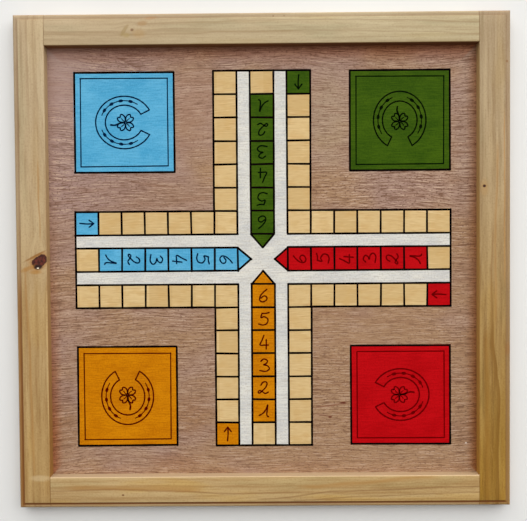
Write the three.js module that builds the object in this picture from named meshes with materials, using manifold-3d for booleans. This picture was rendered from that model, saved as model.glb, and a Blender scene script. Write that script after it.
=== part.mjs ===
// A home-made ludo board: a pine frame with a moulded outer edge, a plywood playing panel let into
// the frame's back, and the track painted on the panel.
// Millimetres, +Z up. The origin is the centre of the underside, and +Y points to the top rail.

import * as THREE from "three";
import { mergeVertices } from "three/addons/utils/BufferGeometryUtils.js";
import Module from "manifold-3d";

// Driving dimensions of the painted track
const CELL = 28.5; // pitch of the square cells
const CELLS_PER_ARM = 7;
const LANE = 16.5; // white strip on each side of a home column
const HOME_GAP = 48.2; // bare panel between the track and a corner square
const HOME_SETBACK = 0.8; // a corner square's outer edge, in from the end of the track
const TRACK_MARGIN = 31.75; // bare panel between the end of the track and the frame
const TRACK_SHIFT = 2.8; // the track was set out this far above the middle of the panel
const LINE = 2; // width of a drawn line
const FINE_LINE = 1; // width of the inner line of a corner square
const FINE_LINE_INSET = 7.5; // that line, in from the square's edge
const PAINT = 0.15; // thickness of a coat of paint
const INK = 0.1; // thickness of a drawn line

// Driving dimensions of the frame and the panel
const BATTEN_WIDTH = 38;
const LIP = 13; // batten above the panel's face
const RABBET_WIDTH = 10; // how far the panel reaches under the battens
const PANEL_THICKNESS = 5;
const PANEL_RECESS = 2; // panel's back, up from the underside of the frame
const PANEL_CLEARANCE = 0.5; // panel's edge to the rabbet's wall
const GLUE_LINE = 0.1; // end of a rail to the stile
const LEDGE_WIDTH = 6.5; // narrow ledge along the outer edge
const LEDGE_DROP = 1.5; // ledge, down from the top of the batten
const LEDGE_ROUNDING = 3; // radius of the ledge's outer arris
const LEDGE_FACETS = 8;

// Driving dimensions of the dowels and the pins
const DOWEL_DIAMETER = 6;
const DOWEL_LENGTH = 30;
const DOWEL_CHAMFER = 0.8;
const DOWEL_SPACING = 16; // between the two dowels of a joint
const DOWEL_CLEARANCE = 0.15; // dowel to the wall of its hole
const DOWEL_END_ROOM = 0.5; // dowel's end to the bottom of its hole
const DOWEL_SIDES = 24;
const FLUTES = 8;
const FLUTE_WIDTH = 0.7;
const FLUTE_DEPTH = 0.3;
const PIN_DIAMETER = 1.4;
const PIN_HEAD_DIAMETER = 3;
const PIN_HEAD_THICKNESS = 0.8;
const PIN_BITE = 7; // pin's length inside the batten
const PIN_POINT = 2;
const PIN_CLEARANCE = 0.1; // pin to the wall of its hole, and point to the bottom
const PIN_SIDES = 12;
const PINS_PER_SIDE = 4;

// Distances that follow from the driving dimensions
const HALF_CELL = CELL / 2;
const HALF_LINE = LINE / 2;
const TRACK_INNER = HALF_CELL + LANE; // near edge of a row of cells, from the centre
const TRACK_OUTER = TRACK_INNER + CELL; // far edge of a row of cells, from the centre
const TRACK_END = TRACK_INNER + CELLS_PER_ARM * CELL;
const HOME_FAR = TRACK_END - HOME_SETBACK;
const HOME_NEAR = TRACK_OUTER + HOME_GAP;
const OPENING_HALF = TRACK_END + TRACK_MARGIN;
const BOARD_HALF = OPENING_HALF + BATTEN_WIDTH;
const RABBET_DEPTH = PANEL_RECESS + PANEL_THICKNESS;
const RABBET_HALF = OPENING_HALF + RABBET_WIDTH;
const PANEL_HALF = RABBET_HALF - PANEL_CLEARANCE;
const FRAME_HEIGHT = RABBET_DEPTH + LIP;
const DOWEL_LEVEL = RABBET_DEPTH + LIP / 2;
const PIN_ROW = OPENING_HALF + RABBET_WIDTH / 2; // the pins stand along the middle of the rabbet
const PIN_SPACING = (2 * PANEL_HALF) / PINS_PER_SIDE;
const PAINT_LEVEL = RABBET_DEPTH;
const INK_LEVEL = PAINT_LEVEL + PAINT;

const OVERSHOOT = 5; // how far a cutting body runs past what it cuts
const MERGE_DISTANCE = 1e-4;
const QUARTER_TURN = Math.PI / 2;

const PINE = { color: 0xb8996a, roughness: 0.5 };
const PLYWOOD = { color: 0xa2826a, roughness: 0.6 };
const BEECH = { color: 0xc9a06c, roughness: 0.7 };
const STEEL = { color: 0xb4b6b8, roughness: 0.35, metalness: 1 };
const TAN_PAINT = { color: 0xd5b279, roughness: 0.55 };
const WHITE_PAINT = { color: 0xd4d1c8, roughness: 0.55 };
const BLACK_INK = { color: 0x140a06, roughness: 0.5 };

// The arms of the cross, counter-clockwise from the top
const PLAYERS = [
  { name: "green", paint: { color: 0x3a5613, roughness: 0.5 } },
  { name: "blue", paint: { color: 0x54acd1, roughness: 0.5 } },
  { name: "orange", paint: { color: 0xc77905, roughness: 0.5 } },
  { name: "red", paint: { color: 0xb70c12, roughness: 0.5 } },
];

const wasm = await Module();
wasm.setup();

// A closed geometry as a solid that can be joined and cut
function solidFrom(geometry) {
  const bare = geometry.clone();
  bare.deleteAttribute("normal");
  bare.deleteAttribute("uv");
  const merged = mergeVertices(bare, MERGE_DISTANCE);
  const mesh = new wasm.Mesh({
    numProp: 3,
    vertProperties: merged.getAttribute("position").array,
    triVerts: new Uint32Array(merged.index.array),
  });
  return new wasm.Manifold(mesh);
}

// A solid as a geometry, with each face shaded flat
function geometryFrom(solid) {
  const { vertProperties, triVerts } = solid.getMesh();
  const geometry = new THREE.BufferGeometry();
  geometry.setAttribute("position", new THREE.BufferAttribute(vertProperties, 3));
  geometry.setIndex(new THREE.BufferAttribute(triVerts, 1));
  const flat = geometry.toNonIndexed();
  flat.computeVertexNormals();
  return flat;
}

function piece(name, geometry, finish) {
  const mesh = new THREE.Mesh(geometry, new THREE.MeshStandardMaterial(finish));
  mesh.name = name;
  return mesh;
}

function boxBetween(low, high) {
  const size = new THREE.Vector3().subVectors(high, low);
  const middle = new THREE.Vector3().addVectors(low, high).multiplyScalar(0.5);
  return new THREE.BoxGeometry(size.x, size.y, size.z).translate(middle.x, middle.y, middle.z);
}

// End view of a plate with the moulding along both sides, standing on its underside
function mouldedSection() {
  const ledge = FRAME_HEIGHT - LEDGE_DROP;
  const step = BOARD_HALF - LEDGE_WIDTH;
  const roundCentre = BOARD_HALF - LEDGE_ROUNDING;
  const roundStart = ledge - LEDGE_ROUNDING;
  const section = new THREE.Shape();
  section.moveTo(-BOARD_HALF, 0);
  section.lineTo(BOARD_HALF, 0);
  section.absarc(roundCentre, roundStart, LEDGE_ROUNDING, 0, QUARTER_TURN);
  section.lineTo(step, ledge);
  section.lineTo(step, FRAME_HEIGHT);
  section.lineTo(-step, FRAME_HEIGHT);
  section.lineTo(-step, ledge);
  section.absarc(-roundCentre, roundStart, LEDGE_ROUNDING, QUARTER_TURN, Math.PI);
  section.closePath();
  return section;
}

// A square plate moulded on all four sides, from which the four battens are sawn
function mouldedPlate() {
  const length = 2 * (BOARD_HALF + OVERSHOOT);
  const alongY = new THREE.ExtrudeGeometry(mouldedSection(), {
    depth: length,
    bevelEnabled: false,
    curveSegments: LEDGE_FACETS,
  });
  alongY.translate(0, 0, -length / 2).rotateX(QUARTER_TURN);
  const alongX = alongY.clone().rotateZ(QUARTER_TURN);
  return solidFrom(alongY).intersect(solidFrom(alongX));
}

// The rabbet on the back that takes the panel, the same all round
function rabbetCutter() {
  const low = new THREE.Vector3(-RABBET_HALF, -RABBET_HALF, -OVERSHOOT);
  const high = new THREE.Vector3(RABBET_HALF, RABBET_HALF, RABBET_DEPTH);
  return solidFrom(boxBetween(low, high));
}

// The two dowel places of each corner joint, on the line where the rail meets the stile
function dowelPlaces() {
  const places = [];
  for (const [row, up] of [["top", 1], ["bottom", -1]]) {
    for (const [column, right] of [["left", -1], ["right", 1]]) {
      for (const [place, out] of [["inner", -1], ["outer", 1]]) {
        const fromCentre = OPENING_HALF + BATTEN_WIDTH / 2 + (out * DOWEL_SPACING) / 2;
        places.push({
          name: `dowel_${row}_${column}_${place}`,
          position: new THREE.Vector3(right * OPENING_HALF, up * fromCentre, DOWEL_LEVEL),
        });
      }
    }
  }
  return places;
}

// The pins of the four sides, each on the panel's back
function pinPlaces() {
  const places = [];
  ["top", "left", "bottom", "right"].forEach((side, turns) => {
    for (let i = 0; i < PINS_PER_SIDE; i++) {
      const along = (i - (PINS_PER_SIDE - 1) / 2) * PIN_SPACING;
      const position = new THREE.Vector3(along, PIN_ROW, PANEL_RECESS);
      position.applyAxisAngle(new THREE.Vector3(0, 0, 1), turns * QUARTER_TURN);
      places.push({ name: `panel_pin_${side}_${i + 1}`, position });
    }
  });
  return places;
}

function dowelHoles() {
  const radius = DOWEL_DIAMETER / 2 + DOWEL_CLEARANCE;
  const length = DOWEL_LENGTH + 2 * DOWEL_END_ROOM;
  const hole = new THREE.CylinderGeometry(radius, radius, length, DOWEL_SIDES).rotateZ(QUARTER_TURN);
  return dowelPlaces().map(({ position }) => solidFrom(hole.clone().translate(...position)));
}

// Each hole runs from below the panel's back into the batten above it
function pinHoles() {
  const radius = PIN_DIAMETER / 2 + PIN_CLEARANCE;
  const top = PANEL_THICKNESS + PIN_BITE + PIN_CLEARANCE;
  const length = top + OVERSHOOT;
  const hole = new THREE.CylinderGeometry(radius, radius, length, PIN_SIDES);
  hole.rotateX(QUARTER_TURN).translate(0, 0, top - length / 2);
  return pinPlaces().map(({ position }) => solidFrom(hole.clone().translate(...position)));
}

function cutAll(solid, cutters) {
  return cutters.reduce((left, cutter) => left.subtract(cutter), solid);
}

// The stiles run the full height, and the rails stand between them
function battens() {
  const plate = mouldedPlate();
  const cutters = [rabbetCutter(), ...dowelHoles(), ...pinHoles()];
  const outside = BOARD_HALF + OVERSHOOT;
  const railHalf = OPENING_HALF - GLUE_LINE;
  const top = FRAME_HEIGHT + OVERSHOOT;
  const blanks = {
    left_stile: [[-outside, -outside, -OVERSHOOT], [-OPENING_HALF, outside, top]],
    right_stile: [[OPENING_HALF, -outside, -OVERSHOOT], [outside, outside, top]],
    top_rail: [[-railHalf, OPENING_HALF, -OVERSHOOT], [railHalf, outside, top]],
    bottom_rail: [[-railHalf, -outside, -OVERSHOOT], [railHalf, -OPENING_HALF, top]],
  };
  const group = new THREE.Group();
  for (const [name, [low, high]] of Object.entries(blanks)) {
    const blank = boxBetween(new THREE.Vector3(...low), new THREE.Vector3(...high));
    const batten = cutAll(plate.intersect(solidFrom(blank)), cutters);
    group.add(piece(name, geometryFrom(batten), PINE));
  }
  return group;
}

function playingPanel() {
  const low = new THREE.Vector3(-PANEL_HALF, -PANEL_HALF, PANEL_RECESS);
  const high = new THREE.Vector3(PANEL_HALF, PANEL_HALF, RABBET_DEPTH);
  const sheet = cutAll(solidFrom(boxBetween(low, high)), pinHoles());
  return piece("playing_panel", geometryFrom(sheet), PLYWOOD);
}

// A fluted dowel with chamfered ends, lying along X
function dowelGeometry() {
  const radius = DOWEL_DIAMETER / 2;
  const half = DOWEL_LENGTH / 2;
  const profile = [
    new THREE.Vector2(0, -half),
    new THREE.Vector2(radius - DOWEL_CHAMFER, -half),
    new THREE.Vector2(radius, -half + DOWEL_CHAMFER),
    new THREE.Vector2(radius, half - DOWEL_CHAMFER),
    new THREE.Vector2(radius - DOWEL_CHAMFER, half),
    new THREE.Vector2(0, half),
  ];
  const rod = solidFrom(new THREE.LatheGeometry(profile, DOWEL_SIDES).rotateZ(QUARTER_TURN));
  const flutes = [];
  for (let i = 0; i < FLUTES; i++) {
    const flute = new THREE.BoxGeometry(DOWEL_LENGTH + OVERSHOOT, FLUTE_WIDTH, 2 * FLUTE_DEPTH);
    flute.translate(0, 0, radius).rotateX((i * 2 * Math.PI) / FLUTES);
    flutes.push(solidFrom(flute));
  }
  return geometryFrom(cutAll(rod, flutes));
}

function dowels() {
  const geometry = dowelGeometry();
  const group = new THREE.Group();
  for (const { name, position } of dowelPlaces()) {
    const dowel = piece(name, geometry, BEECH);
    dowel.position.copy(position);
    group.add(dowel);
  }
  return group;
}

// A flat-headed pin pointing up, with the underside of its head's rim at its origin
function pinGeometry() {
  const shank = PIN_DIAMETER / 2;
  const head = PIN_HEAD_DIAMETER / 2;
  const tip = PANEL_THICKNESS + PIN_BITE;
  const profile = [
    new THREE.Vector2(0, -PIN_HEAD_THICKNESS),
    new THREE.Vector2(head, -PIN_HEAD_THICKNESS),
    new THREE.Vector2(head, 0),
    new THREE.Vector2(shank, 0),
    new THREE.Vector2(shank, tip - PIN_POINT),
    new THREE.Vector2(0, tip),
  ];
  return new THREE.LatheGeometry(profile, PIN_SIDES).rotateX(QUARTER_TURN);
}

function panelPins() {
  const geometry = pinGeometry();
  const group = new THREE.Group();
  for (const { name, position } of pinPlaces()) {
    const pin = piece(name, geometry, STEEL);
    pin.position.copy(position);
    group.add(pin);
  }
  return group;
}

function shapeOf(points) {
  return new THREE.Shape(points.map(([x, y]) => new THREE.Vector2(x, y)));
}

function rectangle(left, bottom, right, top) {
  return shapeOf([[left, bottom], [right, bottom], [right, top], [left, top]]);
}

// A flat layer of the given outline, from a level up
function layer(name, outline, level, thickness, finish) {
  const geometry = new THREE.ExtrudeGeometry(outline, { depth: thickness, bevelEnabled: false });
  const mesh = piece(name, geometry, finish);
  mesh.position.z = level;
  return mesh;
}

function coat(name, outline, finish) {
  return layer(name, outline, PAINT_LEVEL, PAINT, finish);
}

function drawnLine(name, outline) {
  return layer(name, outline, INK_LEVEL, INK, BLACK_INK);
}

// The pointed tip of a home column reaches from the end of its last cell to HALF_CELL from the centre.
// Its sides, moved out by a margin, meet the column's own sides and each other here.
function tipCorners(margin) {
  const side = HALF_CELL + margin;
  const slope = LANE / HALF_CELL;
  const apex = HALF_CELL - margin * Math.hypot(1, slope);
  return { side, shoulder: apex + side * slope, apex };
}

// A point turned about the centre by a number of quarter turns, with no rounding
function turned([x, y], quarterTurns) {
  let point = [x, y];
  for (let i = 0; i < quarterTurns; i++) {
    point = [-point[1], point[0]];
  }
  return point;
}

function everyArm(points) {
  return PLAYERS.flatMap((_, turns) => points.map((point) => turned(point, turns)));
}

// The white lanes and the white centre as one outline, with the lanes' ends moved out by a margin
function laneOutline(endMargin) {
  const wall = TRACK_INNER - HALF_LINE;
  const end = TRACK_END + endMargin;
  const { side, shoulder, apex } = tipCorners(HALF_LINE);
  return everyArm([
    [wall, wall],
    [wall, end],
    [side, end],
    [side, shoulder],
    [0, apex],
    [-side, shoulder],
    [-side, end],
    [-wall, end],
  ]);
}

// The cells of the top arm and of the track beside it, each as its left and lower edge
function cellCorners() {
  const corners = [];
  for (let i = 0; i < CELLS_PER_ARM; i++) {
    const along = TRACK_INNER + i * CELL;
    corners.push([TRACK_INNER, along]);
    corners.push([-HALF_CELL, along]);
    if (i > 0) {
      corners.push([along, TRACK_INNER]);
    }
  }
  return corners;
}

// A tall body of the given outline that cuts right through a drawn layer
function layerCutter(points) {
  const depth = INK + 2 * OVERSHOOT;
  const body = new THREE.ExtrudeGeometry(shapeOf(points), { depth, bevelEnabled: false });
  return solidFrom(body.translate(0, 0, -OVERSHOOT));
}

// The openings of one arm of the grid: its cells and the pointed tip of its home column
function gridOpenings() {
  const open = CELL - LINE;
  const cells = cellCorners().map(([x, y]) => {
    const left = x + HALF_LINE;
    const bottom = y + HALF_LINE;
    return [[left, bottom], [left + open, bottom], [left + open, bottom + open], [left, bottom + open]];
  });
  const base = TRACK_INNER - HALF_LINE;
  const { apex } = tipCorners(-HALF_LINE);
  const baseHalf = ((base - apex) * HALF_CELL) / LANE;
  return [...cells, [[0, apex], [baseHalf, base], [-baseHalf, base]]];
}

// The grid is the whole cross with each cell, each tip and the white lanes cut out
function inkGrid() {
  const edge = TRACK_OUTER + HALF_LINE;
  const end = TRACK_END + HALF_LINE;
  const cross = shapeOf(everyArm([[edge, edge], [edge, end], [-edge, end]]));
  const sheet = solidFrom(new THREE.ExtrudeGeometry(cross, { depth: INK, bevelEnabled: false }));
  const openings = PLAYERS.flatMap((_, turns) =>
    gridOpenings().map((points) => layerCutter(points.map((point) => turned(point, turns)))),
  );
  const grid = cutAll(sheet, [...openings, layerCutter(laneOutline(-HALF_LINE))]);
  const mesh = piece("ink_grid", geometryFrom(grid), BLACK_INK);
  mesh.position.z = INK_LEVEL;
  return mesh;
}

// A square ring round a corner square, as wide as its line, with its middle in from the square's edge
function squareRing(inset, width) {
  const out = inset - width / 2;
  const into = inset + width / 2;
  const ring = rectangle(HOME_NEAR + out, HOME_NEAR + out, HOME_FAR - out, HOME_FAR - out);
  ring.holes.push(rectangle(HOME_NEAR + into, HOME_NEAR + into, HOME_FAR - into, HOME_FAR - into));
  return ring;
}

function homeColumn() {
  const { side, shoulder, apex } = tipCorners(HALF_LINE);
  const start = TRACK_END - CELL;
  return shapeOf([[side, start], [-side, start], [-side, shoulder], [0, apex], [side, shoulder]]);
}

// The plain cells between two arms, all but the start cell: up one arm and out along the next
function plainTrack() {
  const near = TRACK_INNER - HALF_LINE;
  const far = TRACK_OUTER + HALF_LINE;
  const end = TRACK_END + HALF_LINE;
  const start = TRACK_END - CELL;
  return shapeOf([[near, near], [end, near], [end, far], [far, far], [far, start], [near, start]]);
}

// What belongs to one player, drawn for the top arm. Each coat reaches under the whole of its lines.
function playerPaint({ name, paint }) {
  const near = TRACK_INNER - HALF_LINE;
  const far = TRACK_OUTER + HALF_LINE;
  const side = HALF_CELL + HALF_LINE;
  const end = TRACK_END + HALF_LINE;
  const start = TRACK_END - CELL;
  const squareNear = HOME_NEAR - HALF_LINE;
  const squareFar = HOME_FAR + HALF_LINE;
  const group = new THREE.Group();
  group.add(
    coat(`${name}_home_square`, rectangle(squareNear, squareNear, squareFar, squareFar), paint),
    drawnLine(`${name}_home_outline`, squareRing(0, LINE)),
    drawnLine(`${name}_home_fine_line`, squareRing(FINE_LINE_INSET, FINE_LINE)),
    coat(`${name}_start_cell`, rectangle(near, start, far, end), paint),
    coat(`${name}_home_column`, homeColumn(), paint),
    coat(`${name}_end_cell`, rectangle(-side, start, side, end), TAN_PAINT),
    coat(`${name}_track`, plainTrack(), TAN_PAINT),
  );
  return group;
}

function paintedTrack() {
  const group = new THREE.Group();
  group.position.y = TRACK_SHIFT;
  group.add(coat("white_lanes", shapeOf(laneOutline(HALF_LINE)), WHITE_PAINT));
  group.add(inkGrid());
  PLAYERS.forEach((player, turns) => {
    const arm = playerPaint(player);
    arm.rotation.z = turns * QUARTER_TURN;
    group.add(arm);
  });
  return group;
}

const board = new THREE.Group();
board.add(battens(), dowels(), playingPanel(), panelPins(), paintedTrack());

export default board;
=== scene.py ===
"""A home-made ludo board: a moulded pine frame round a sunken plywood panel with a painted track.

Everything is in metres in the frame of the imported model: the origin is the centre of the underside,
+Z points out of the playing face and +Y towards the top rail.
"""
import math
import random

import bpy
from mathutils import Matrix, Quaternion, Vector


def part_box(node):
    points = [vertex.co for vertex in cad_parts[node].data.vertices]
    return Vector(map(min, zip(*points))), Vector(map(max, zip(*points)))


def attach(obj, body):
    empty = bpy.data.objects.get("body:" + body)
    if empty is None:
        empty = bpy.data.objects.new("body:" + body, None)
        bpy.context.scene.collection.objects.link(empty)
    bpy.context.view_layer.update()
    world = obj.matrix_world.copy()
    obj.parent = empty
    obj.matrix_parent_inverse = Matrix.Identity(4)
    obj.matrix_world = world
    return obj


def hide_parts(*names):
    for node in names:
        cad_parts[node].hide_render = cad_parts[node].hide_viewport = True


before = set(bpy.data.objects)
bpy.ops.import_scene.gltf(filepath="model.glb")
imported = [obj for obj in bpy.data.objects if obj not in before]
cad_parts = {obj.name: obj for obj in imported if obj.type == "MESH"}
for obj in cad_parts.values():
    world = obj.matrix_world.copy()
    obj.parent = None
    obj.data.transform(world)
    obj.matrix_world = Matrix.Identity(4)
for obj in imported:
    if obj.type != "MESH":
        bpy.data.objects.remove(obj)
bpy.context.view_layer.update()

MM = 0.001

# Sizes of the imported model
STILE_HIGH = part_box("left_stile")[1]
PANEL_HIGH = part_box("playing_panel")[1]
GRID_LOW, GRID_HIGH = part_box("ink_grid")
END_CELL_LOW, END_CELL_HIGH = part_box("green_end_cell")
START_CELL_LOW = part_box("green_start_cell")[0]
BOARD_HALF = STILE_HIGH.y
OPENING_HALF = -STILE_HIGH.x
FRAME_TOP = STILE_HIGH.z
PANEL_HALF = PANEL_HIGH.x
PANEL_TOP = PANEL_HIGH.z
COAT_TOP = END_CELL_HIGH.z
INK_TOP = GRID_HIGH.z
TRACK_CENTRE = (GRID_LOW + GRID_HIGH) / 2

# The paint of an end cell is a line wider than the cell, and half a line higher
LINE = 2 * ((END_CELL_HIGH.x - END_CELL_LOW.x) - (END_CELL_HIGH.y - END_CELL_LOW.y))
CELL = END_CELL_HIGH.x - END_CELL_LOW.x - LINE
HALF_CELL = CELL / 2
TRACK_INNER = START_CELL_LOW.x + LINE / 2 - TRACK_CENTRE.x
TRACK_OUTER = TRACK_INNER + CELL
TRACK_END = GRID_HIGH.y - LINE / 2 - TRACK_CENTRE.y
CELLS_PER_ARM = round((TRACK_END - TRACK_INNER) / CELL)

# Players by quarter turns, counter-clockwise from the top arm
PLAYERS = ("green", "blue", "orange", "red")

# Sizes of the moulded ledge and the worn arrises
LEDGE_WIDTH = 6.5 * MM
LEDGE_DROP = 1.5 * MM
LEDGE_ROUNDING = 3 * MM
LEDGE_FACETS = 8
RISER_RUN = 0.15 * MM
TOP_ARRIS = 0.5 * MM
INNER_ARRIS = 1.2 * MM
JOINT_ARRIS = 0.4 * MM
FOOT_ARRIS = 0.6 * MM
ARRIS_FACETS = 4
RABBET_HALF = PANEL_HALF + 0.5 * MM
RABBET_SLOPE = 0.02 * MM
BATTEN_SPACING = 20 * MM
SHARP_ANGLE = math.radians(28)

# Sizes of the grain, of the varnish and dirt that gathered in the corners, and of the shadow painted at the
# foot of the moulding's step and of the walls
GRAIN_WANDER = 7 * MM
RING_SPACING = 8 * MM
STREAK_WOBBLE = 2 * MM
VENEER_SLANT = 36 * MM
VENEER_RIPPLE = 3 * MM
MITRE_BLUR = 2 * MM
LEDGE_FADE = 1.5 * MM
STEP_FOOT_OUTSIDE = (LEDGE_WIDTH - 3.4 * MM, LEDGE_WIDTH - 1.8 * MM)
STEP_FOOT_INSIDE = (LEDGE_WIDTH + 0.3 * MM, LEDGE_WIDTH - 0.2 * MM)
JOINT_DIRT = (0.9 * MM, 0.2 * MM)
JOINT_FADE = 1 * MM
# Reach of the painted shadow at the foot of the walls, and how much further it reaches along the top rail
WALL_SHADE_REACH = 15 * MM
WALL_SHADE_ABOVE = 9 * MM

# Sizes of the pen work, with the tilt and shift of the digits and the wobble of the width as shares
FINE_LINE = 1 * MM
PEN_SPREAD = 0.5 * MM
HAND_SLIP = 0.35 * MM
DIGIT_HEIGHT = 15 * MM
DIGIT_WIDTH = 16.5 * MM
DIGIT_TILT = 0.06
DIGIT_SHIFT = 0.04
PEN = 1.8 * MM
THIN_PEN = PEN * 0.7
STEM_PEN = PEN * 1.2
PEN_SLOPE = 0.08 * MM
PEN_WOBBLE = 0.07
PEN_PACE = (0.5, 0.9)
CAP_REACHES = (0.45, 0.75, 0.95)
RULED_STEP = 7 * MM
SKETCHED_STEP = 0.8 * MM
INK_LAYER = 0.01 * MM
INK_LAYERS = 5
BLOT_SIDES = 14
BLOT_TOP = 0.93

# Seeds of the hand's slips: a player's pieces add the number of their quarter
GRID_SEED = 11
OUTLINE_SEED = 20
FINE_LINE_SEED = 30
NUMBER_SEED = 40
ARROW_SEED = 60
MOTIF_SEED = 80


def tint(red, green, blue):
    """A screen colour, 0 to 255 each, as the linear colour that shaders take."""
    def linear(value):
        share = value / 255
        return share / 12.92 if share <= 0.04045 else ((share + 0.055) / 1.055) ** 2.4
    return (linear(red), linear(green), linear(blue), 1.0)


BACKDROP = tint(232, 231, 228)


# Materials

class Wire:
    """A node's output in a material or a world, which can be reckoned with like a number."""

    def __init__(self, holder, socket):
        self.holder = holder
        self.socket = socket

    def __add__(self, other):
        return calculate("ADD", self, other)

    def __sub__(self, other):
        return calculate("SUBTRACT", self, other)

    def __rsub__(self, other):
        return calculate("SUBTRACT", other, self)

    def __mul__(self, other):
        return calculate("MULTIPLY", self, other)

    def __truediv__(self, other):
        return calculate("DIVIDE", self, other)

    def __abs__(self):
        return calculate("ABSOLUTE", self)

    __radd__ = __add__
    __rmul__ = __mul__


def new_node(holder, kind, inputs, output=0, **settings):
    """One output of a new shader node, whose inputs are given by name or number."""
    tree = holder.node_tree
    node = tree.nodes.new("ShaderNode" + kind)
    for key, value in settings.items():
        setattr(node, key, value)
    for key, value in inputs.items():
        if isinstance(value, Wire):
            tree.links.new(value.socket, node.inputs[key])
        else:
            node.inputs[key].default_value = value
    return Wire(holder, node.outputs[output])


def fed_node(kind, inputs, output=0, **settings):
    """One output of a new node, in the material of the wires that feed it."""
    holder = next(value.holder for value in inputs.values() if isinstance(value, Wire))
    return new_node(holder, kind, inputs, output, **settings)


def calculate(operation, *values):
    return fed_node("Math", dict(enumerate(values)), operation=operation)


def length(first, second):
    return calculate("SQRT", first * first + second * second)


def larger(first, second):
    return calculate("MAXIMUM", first, second)


def join(x, y, z):
    return fed_node("CombineXYZ", {0: x, 1: y, 2: z})


def split(holder, kind, output):
    """The three parts of a vector that a new node gives."""
    first = fed_node("SeparateXYZ", {0: new_node(holder, kind, {}, output)})
    return [Wire(holder, part) for part in first.socket.node.outputs]


def without_nodes(holder):
    """A new material or world, cleared of the nodes that it came with."""
    holder.use_nodes = True
    holder.node_tree.nodes.clear()
    return holder


def new_material(name):
    """The three coordinates of a shaded point in a new material, in metres in the board's frame."""
    return split(without_nodes(bpy.data.materials.new(name)), "TexCoord", "Object")


def noise(x, y, z, detail=2.0):
    return fed_node("TexNoise", {"Vector": join(x, y, z), "Scale": 1.0, "Detail": detail})


def chance(x, y):
    """A steady random number for each pair of whole numbers."""
    return fed_node("TexWhiteNoise", {"Vector": join(x, y, 0.0)}, "Value", noise_dimensions="2D")


def smooth(value, low, high):
    """0 on the low limit's side, 1 on the high one's, and a smooth climb between."""
    return fed_node("MapRange", {0: value, 1: low, 2: high}, interpolation_type="SMOOTHSTEP")


def mix(share, first, second, blend="MIX"):
    """A colour that goes from the first to the second as the share goes from 0 to 1."""
    return fed_node("Mix", {0: share, 6: first, 7: second}, 2, data_type="RGBA", blend_type=blend)


def stain(share, colour, tone):
    """A colour made deeper by a transparent tone, as far as the share says."""
    return mix(share, colour, tone, "MULTIPLY")


def layers(colour, *rows):
    """Tones laid over a colour in turn, each up to its share as its value goes from low to high."""
    for value, low, high, share, tone in rows:
        colour = mix(smooth(value, low, high) * share, colour, tone)
    return colour


def tilted(x, y, mark):
    """Coordinates along and across a mark that lies tilted on the board."""
    right, up = x - mark["x"], y - mark["y"]
    cosine, sine = math.cos(mark["angle"]), math.sin(mark["angle"])
    return right * cosine + up * sine, up * cosine - right * sine


def add_spot(colour, x, y, mark):
    """A small round or long mark on a colour, with a ragged edge."""
    along, across = tilted(x, y, mark)
    ragged = noise(x * 380, y * 380, 6.0) - 0.5
    reach = length(along / mark["wide"], across / mark["high"]) + ragged * 0.5
    return layers(colour, (reach, 1.3, 0.5, mark["strength"], mark["tone"]))


def shader(colour, roughness, height, relief, gloss=0.5, metallic=0.0):
    """A surface with relief, whose even values are set on the shader's own sockets."""
    bump = fed_node("Bump", {"Strength": 1.0, "Distance": relief, "Height": height}, "Normal")
    return fed_node("BsdfPrincipled", {
        "Base Color": colour,
        "Roughness": roughness,
        "Metallic": metallic,
        "Specular IOR Level": gloss,
        "Normal": bump,
    })


def backdrop(share, surface, glow_kind):
    """A surface that shows as the even backdrop, as far as the share says, also in reflections."""
    holder = surface.holder
    seen = 0.0
    for ray in ("Is Camera Ray", "Is Glossy Ray", "Is Transmission Ray"):
        seen = larger(new_node(holder, "LightPath", {}, ray), seen)
    glow = new_node(holder, glow_kind, {0: BACKDROP})
    return fed_node("MixShader", {0: seen * share, 1: surface, 2: glow})


def close(surface, output="OutputMaterial"):
    """The material or world of a surface, with the surface on its output."""
    tree = surface.holder.node_tree
    tree.links.new(surface.socket, tree.nodes.new("ShaderNode" + output).inputs["Surface"])
    return surface.holder


def finish(*values, **sheen):
    """A material with the shader on its output."""
    return close(shader(*values, **sheen))


# Gloss of the finishes
VARNISH = 0.2
SATIN = 0.03
MATT = 0.01

# Tones of the pine, each a light, a middle and a dark one, and the share of its golden stains. The paler,
# greyer tones of the top rail and of the stiles' upper ends are partly the wood's own and partly a painted
# sheen of the varnish.
PALE_PINE = (tint(199, 184, 146), tint(182, 164, 127), tint(156, 132, 92), 0.35)
SMOOTH_PINE = (tint(190, 168, 133), tint(179, 156, 122), tint(157, 132, 95), 0.2)
STRAW_PINE = (tint(198, 177, 142), tint(181, 158, 124), tint(149, 119, 81), 0.2)
DULL_PINE = (tint(188, 166, 131), tint(169, 146, 112), tint(137, 109, 73), 0.5)
HONEY_PINE = (tint(200, 171, 122), tint(183, 153, 106), tint(153, 115, 65), 1.0)
GOLD_PINE = (tint(193, 161, 107), tint(173, 139, 87), tint(138, 96, 45), 0.8)
AMBER_PINE = (tint(198, 168, 116), tint(178, 146, 96), tint(142, 101, 50), 0.9)
DEEP_PINE = (tint(177, 139, 67), tint(152, 113, 39), tint(110, 70, 10), 0.8)
OCHRE = tint(164, 116, 56)

# Transparent stains
GOLDEN_STAIN = (1.0, 0.93, 0.7, 1.0)
GREY_STAIN = (0.92, 0.95, 0.94, 1.0)
LEDGE_STAIN = (0.84, 0.82, 0.8, 1.0)
JOINT_STAIN = (0.5, 0.38, 0.28, 1.0)
# Tones of the painted shadow at the foot of the walls, less red along the right
WALL_SHADE_TONE = (0.92, 0.48, 0.24, 1.0)
RIGHT_SHADE_TONE = (0.74, 0.46, 0.22, 1.0)


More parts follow.
